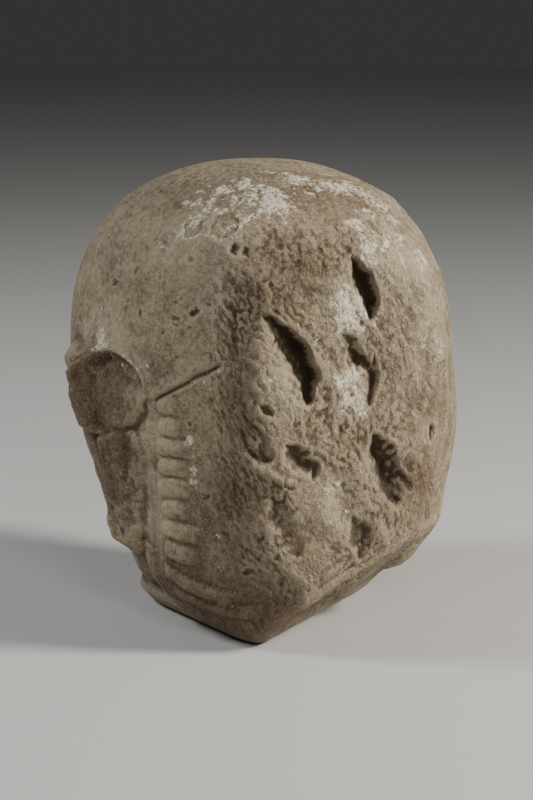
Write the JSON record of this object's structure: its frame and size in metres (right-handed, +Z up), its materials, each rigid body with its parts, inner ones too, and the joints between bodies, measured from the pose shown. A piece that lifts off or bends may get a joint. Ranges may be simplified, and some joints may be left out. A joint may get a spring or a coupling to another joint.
{
  "type": "statue head",
  "caption": "Life-size bald and bearded statue head in weathered stone, face hacked away, standing on the flat break at its jaw.",
  "frame": {"origin": "centre of the bounding box in plan, on the flat break the head rests on", "axes": "+Z up, the head looked along -Y, its own right side is toward -X"},
  "size_m": [0.1934, 0.2248, 0.2459],
  "materials": {
    "stone": "weathered, dull, with pale worn patches and brown staining"
  },
  "bodies": {
    "root": {"statue_head": "stone"}
  },
  "joints": []
}
